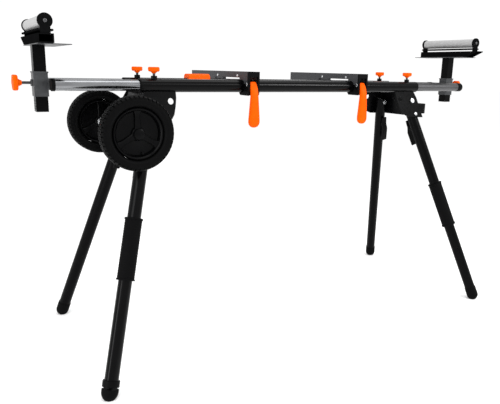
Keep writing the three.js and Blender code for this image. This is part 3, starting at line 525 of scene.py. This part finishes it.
def clamp_lever(end):
    node_name = f"clamp_lever_{end}"
    low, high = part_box(node_name)
    middle = (low.x + high.x) / 2
    body = BODY_OF[node_name]
    bm = bmesh.new()
    loft(bm, [
        rounded_section(Vector((middle, y * MM, z * MM)), lean, w * MM, t * MM)
        for y, z, lean, w, t in LEVER_SECTIONS
    ])
    piece(f"cam_lever_{end}", bm, "orange_plastic", body, replaces=[node_name])
    bm = bmesh.new()
    pin = placed((middle, LEVER_PIN_Y, LEVER_PIN_Z), (1, 0, 0))
    round_bar(PIN_RADIUS, -PIN_HALF_LENGTH, PIN_HALF_LENGTH, pin, bm)
    for reach in (-1, 1):
        near, far = sorted((reach * PIN_HEAD_START, reach * PIN_HALF_LENGTH))
        round_bar(PIN_HEAD_RADIUS, near, far, pin, bm)
    piece(f"cam_pin_{end}", bm, "bolt_steel", body)


for end, _ in ENDS:
    clamp_lever(end)

# ---------------------------------------------------------------- legs


GRIP_TOP_Z, GRIP_BOTTOM_Z = 447 * MM, 288 * MM
GRIP_RINGS = 22
GRIP_RIM_HEIGHT = 6.4
# radius and height of a grip's rim, and of the groove and the crest between its rings
GRIP_RIM = [(19.3, 0), (24.6, 0), (25.6, 1), (25.6, 4.2), (24.8, 5.2), (23.4, GRIP_RIM_HEIGHT)]
GRIP_GROOVE, GRIP_CREST = 23.5, 24.0
FOOT_RADIUS, FOOT_GROOVE, FOOT_BORE = 20.8, 20.2, 19.3
FOOT_CENTRE_Z = 17 * MM


def leg_point(x_sign, y_sign, z):
    point = LEG_REFERENCE + LEG_UP * ((z - LEG_REFERENCE.z) / LEG_UP.z)
    return Vector((x_sign * point.x, y_sign * point.y, point.z))


def leg_up(x_sign, y_sign):
    return Vector((x_sign * LEG_UP.x, y_sign * LEG_UP.y, LEG_UP.z))


def floor_cut(bm):
    """Cuts away what would lie below the floor and closes the cut."""
    cut = bmesh.ops.bisect_plane(
        bm, geom=bm.verts[:] + bm.edges[:] + bm.faces[:],
        plane_co=(0, 0, 0), plane_no=(0, 0, -1), clear_outer=True)
    edges = [g for g in cut["geom_cut"] if isinstance(g, bmesh.types.BMEdge)]
    bmesh.ops.contextual_create(bm, geom=edges)


def grip(end, x_sign):
    place = placed(leg_point(x_sign, -1, GRIP_BOTTOM_Z), leg_up(x_sign, -1))
    length = (GRIP_TOP_Z - GRIP_BOTTOM_Z) / LEG_UP.z / MM
    pitch = (length - 2 * GRIP_RIM_HEIGHT) / GRIP_RINGS
    profile = list(GRIP_RIM)
    for i in range(GRIP_RINGS):
        base = GRIP_RIM_HEIGHT + pitch * (i + 0.15)
        profile.append((GRIP_GROOVE, base))
        profile.append((GRIP_CREST, base + pitch * 0.2))
        profile.append((GRIP_CREST, base + pitch * 0.6))
        profile.append((GRIP_GROOVE, base + pitch * 0.8))
    profile += [(r, length - h) for r, h in reversed(GRIP_RIM)]
    profile.append(profile[0])
    body = f"leg_{end}_front"
    turned(f"hand_grip_{end}", profile, place, 64, "rubber", body, replaces=[f"leg_grip_{end}"])


def foot(end, side, x_sign, y_sign):
    place = placed(leg_point(x_sign, y_sign, FOOT_CENTRE_Z), leg_up(x_sign, y_sign))
    wide, narrow = FOOT_RADIUS, FOOT_GROOVE
    collar = [
        (FOOT_BORE, 30), (narrow, 30), (wide, 29.4), (wide, 24), (narrow, 23.4), (narrow, 21.8),
        (wide, 21.2), (wide, 15), (narrow, 14.4), (narrow, 12.8), (wide, 12.2),
    ]
    angles = [math.radians(a) for a in range(0, -90, -10)]
    dome = [(wide * math.cos(a), wide * math.sin(a)) for a in angles] + [(0, -wide)]
    inside = [(0, -1), (FOOT_BORE, -1), (FOOT_BORE, 30)]
    bm = bmesh.new()
    lathe(bm, collar + dome + inside, place, 56)
    bmesh.ops.remove_doubles(bm, verts=bm.verts, dist=1e-6)
    floor_cut(bm)
    piece(f"foot_{end}_{side}", bm, "rubber", f"leg_{end}_{side}", replaces=[f"foot_cap_{end}_{side}"])


for end, x_sign in ENDS:
    grip(end, x_sign)
    for side, y_sign in SIDES:
        if (end, side) != ("left", "front"):
            foot(end, side, x_sign, y_sign)

# ---------------------------------------------------------------- tube ends, bolts and marks

BUSHING = [
    (15.6, 0.3), (18.6, 0.3), (18.9, 1.0), (18.6, 3.2), (17.4, 4.2), (15.6, 4.2), (15.6, 0.3),
]
ROLLER_BOLT = [(0, 1.8), (1.6, 1.8), (2.0, 2.6), (3.4, 2.6), (4.6, 1.8), (5.0, 0.6), (5.0, 0), (0, 0)]
RAIL_SCREW = [(0, 1.4), (1.6, 1.4), (2, 2.2), (3.2, 2), (4, 1.2), (4.2, 0), (0, 0)]
PLATE_BOLT = [(0, 3.2), (4.5, 3.2), (6.4, 2), (7, 0.5), (7, -0.1), (0, -0.1)]
PLATE_BOLT_X, PLATE_BOLT_Z = 518 * MM, 708 * MM
# the direction a rear housing plate faces, and how far its face is from the leg's middle
OUTWARD = Vector((0, 0.9552, 0.2960))
PLATE_FACE = 23.3 * MM


def tube_bushing(end, side, x_sign, y_sign):
    mouth = placed((x_sign * BEAM_END, y_sign * BEAM_Y, BEAM_Z), (x_sign, 0, 0))
    turned(f"tube_bushing_{end}_{side}", BUSHING, mouth, 48, "black_plastic", "frame")


def arm_cap(end, side, x_sign, y_sign):
    """A flat cap with a short skirt on the left arms, a domed one with a long skirt on the right."""
    if end == "left":
        cap = [
            (15.5, -8.5), (16.0, -8.5), (16.4, -7.9), (16.4, 0.2), (15.6, 1.4), (14.0, 2.0), (0, 2.0),
            (0, 0.4), (15.5, 0.4), (15.5, -8.5),
        ]
    else:
        angles = [math.radians(a) for a in range(15, 90, 15)]
        dome = [(16.1 * math.cos(a), 0.2 + 9 * math.sin(a)) for a in angles]
        skirt = [(15.5, -20), (15.9, -20), (16.1, -19.2), (16.1, 0.2)]
        cap = skirt + dome + [(0, 9.2), (0, 0.4), (15.5, 0.4), (15.5, -20)]
    tip = placed((x_sign * ARM_END[end], y_sign * BEAM_Y, BEAM_Z), (x_sign, 0, 0))
    turned(f"arm_cap_{end}_{side}", cap, tip, 48, "black_plastic", f"arm_{end}")


def roller_bolt(end, side, x_sign, y_sign):
    ear = placed((x_sign * POST_X, y_sign * EAR_OUTER_Y, ROLLER_Z[end]), (0, y_sign, 0))
    name = f"roller_bolt_{end}_{side}"
    turned(name, ROLLER_BOLT, ear, 32, "dull_steel", f"roller_head_{end}")


def post_trim(end, x_sign):
    """The plug in the foot of a roller post, and the bands around it just above."""
    head = f"roller_head_{end}"
    middle = x_sign * POST_X
    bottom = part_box(f"roller_post_{end}")[0].z
    inner = POST_PLUG_HALF
    bm = bmesh.new()
    bar(bm, (middle - inner, -inner, bottom + 0.3 * MM), (middle + inner, inner, bottom + 6 * MM))
    piece(f"post_plug_{end}", bm, "black_plastic", head, edge=0.5 * MM)

    half = POST_SIDE / 2 + 0.15 * MM
    bm = bmesh.new()
    for i in range(POST_MARKS):
        z = bottom + (i + 1) * POST_MARK_STEP
        bar(bm, (middle - half, -half, z), (middle + half, half, z + POST_MARK_HEIGHT))
    piece(f"post_marks_{end}", bm, "black_plastic", head)


def rail_screws(end, x_sign):
    low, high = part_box(f"saw_rail_{end}")
    for word, place_y in RAIL_SCREW_Y:
        for face, x in ((-1, low.x), (1, high.x)):
            screw = placed((x, place_y, RAIL_SCREW_Z), (face, 0, 0))
            flank = "inner" if face * x_sign < 0 else "outer"
            name = f"rail_screw_{end}_{word}_{flank}"
            turned(name, RAIL_SCREW, screw, 24, "bolt_steel", f"saw_bracket_{end}")


def plate_bolt(side, y_sign):
    """The bolt through a right housing plate, set on the plate's leaning face."""
    lean = (PLATE_FACE - OUTWARD.z * (PLATE_BOLT_Z - LEG_REFERENCE.z)) / OUTWARD.y
    face = (PLATE_BOLT_X, y_sign * (LEG_REFERENCE.y + lean), PLATE_BOLT_Z)
    bolt = placed(face, (0, y_sign * OUTWARD.y, OUTWARD.z))
    turned(f"plate_bolt_{side}", PLATE_BOLT, bolt, 32, "bolt_steel", "frame")


for end, x_sign in ENDS:
    for side, y_sign in SIDES:
        tube_bushing(end, side, x_sign, y_sign)
        arm_cap(end, side, x_sign, y_sign)
    for side, y_sign in SIDES:
        roller_bolt(end, side, x_sign, y_sign)
    post_trim(end, x_sign)
    rail_screws(end, x_sign)
for side, y_sign in SIDES:
    plate_bolt(side, y_sign)

# ---------------------------------------------------------------- floor, light and camera


def plain(name, colour, roughness):
    material = bpy.data.materials.new(name)
    material.use_nodes = True
    shader = material.node_tree.nodes["Principled BSDF"]
    shader.inputs["Base Color"].default_value = (*colour, 1)
    shader.inputs["Roughness"].default_value = roughness
    shader.inputs["Specular IOR Level"].default_value = 0.0
    return material


FLOOR_SIZE = 60
FLOOR_DROP = 0.5 * MM
bpy.ops.mesh.primitive_plane_add(size=FLOOR_SIZE, location=(0, 0, -FLOOR_DROP))
floor = bpy.context.object
floor.name = "floor"
floor.data.materials.append(plain("floor", (0.97, 0.97, 0.97), 0.9))

scene = bpy.context.scene
scene.view_settings.view_transform = "Standard"
world = bpy.data.worlds.new("studio")
world.use_nodes = True
backdrop = world.node_tree.nodes["Background"]
backdrop.inputs["Color"].default_value = (1, 1, 1, 1)
backdrop.inputs["Strength"].default_value = 1.04
scene.world = world


def soft_light(name, place, aim, size, power):
    light = bpy.data.lights.new(name, "AREA")
    light.shape = "RECTANGLE"
    light.size, light.size_y = size
    light.energy = power
    lamp = bpy.data.objects.new(name, light)
    lamp.location = place
    lamp.rotation_euler = (Vector(aim) - Vector(place)).to_track_quat("-Z", "Y").to_euler()
    scene.collection.objects.link(lamp)


soft_light("key", (-2.6, -1.6, 2.4), (0, 0, 0.7), (1.6, 1.6), 30)
soft_light("top", (0.2, -0.4, 3.2), (0, 0, 0.8), (3.0, 1.2), 30)
soft_light("strip_right", (1.5, -1.9, 1.8), (1.5, -0.07, 0.8), (0.9, 0.5), 34)
soft_light("strip_left", (0.6, -1.9, 1.75), (0.6, -0.07, 0.8), (0.8, 0.4), 4)
soft_light("strip_legs", (-2.5, -0.7, 0.6), (-0.6, -0.3, 0.6), (0.4, 1.3), 14)

YAW = math.radians(30.833)
PITCH = math.radians(13.415)
ROLL = math.radians(-1.314)
CAMERA_PLACE = Vector((-1.05186, -1.61829, 0.85528))
SENSOR_WIDTH = 36
FOCAL_LENGTH = 39.91
SIDE_SHIFT = -0.021
level = math.cos(PITCH)
forward = Vector((math.sin(YAW) * level, math.cos(YAW) * level, -math.sin(PITCH)))
right = Vector((math.cos(YAW), -math.sin(YAW), 0))
down = forward.cross(right)
camera_right = right * math.cos(ROLL) + down * math.sin(ROLL)
camera_down = down * math.cos(ROLL) - right * math.sin(ROLL)
view = Matrix((camera_right, -camera_down, -forward)).transposed().to_4x4()
view.translation = CAMERA_PLACE

lens = bpy.data.cameras.new("camera")
lens.sensor_width = SENSOR_WIDTH
lens.lens = FOCAL_LENGTH
lens.shift_x = SIDE_SHIFT
camera = bpy.data.objects.new("camera", lens)
camera.matrix_world = view
scene.collection.objects.link(camera)
scene.camera = camera
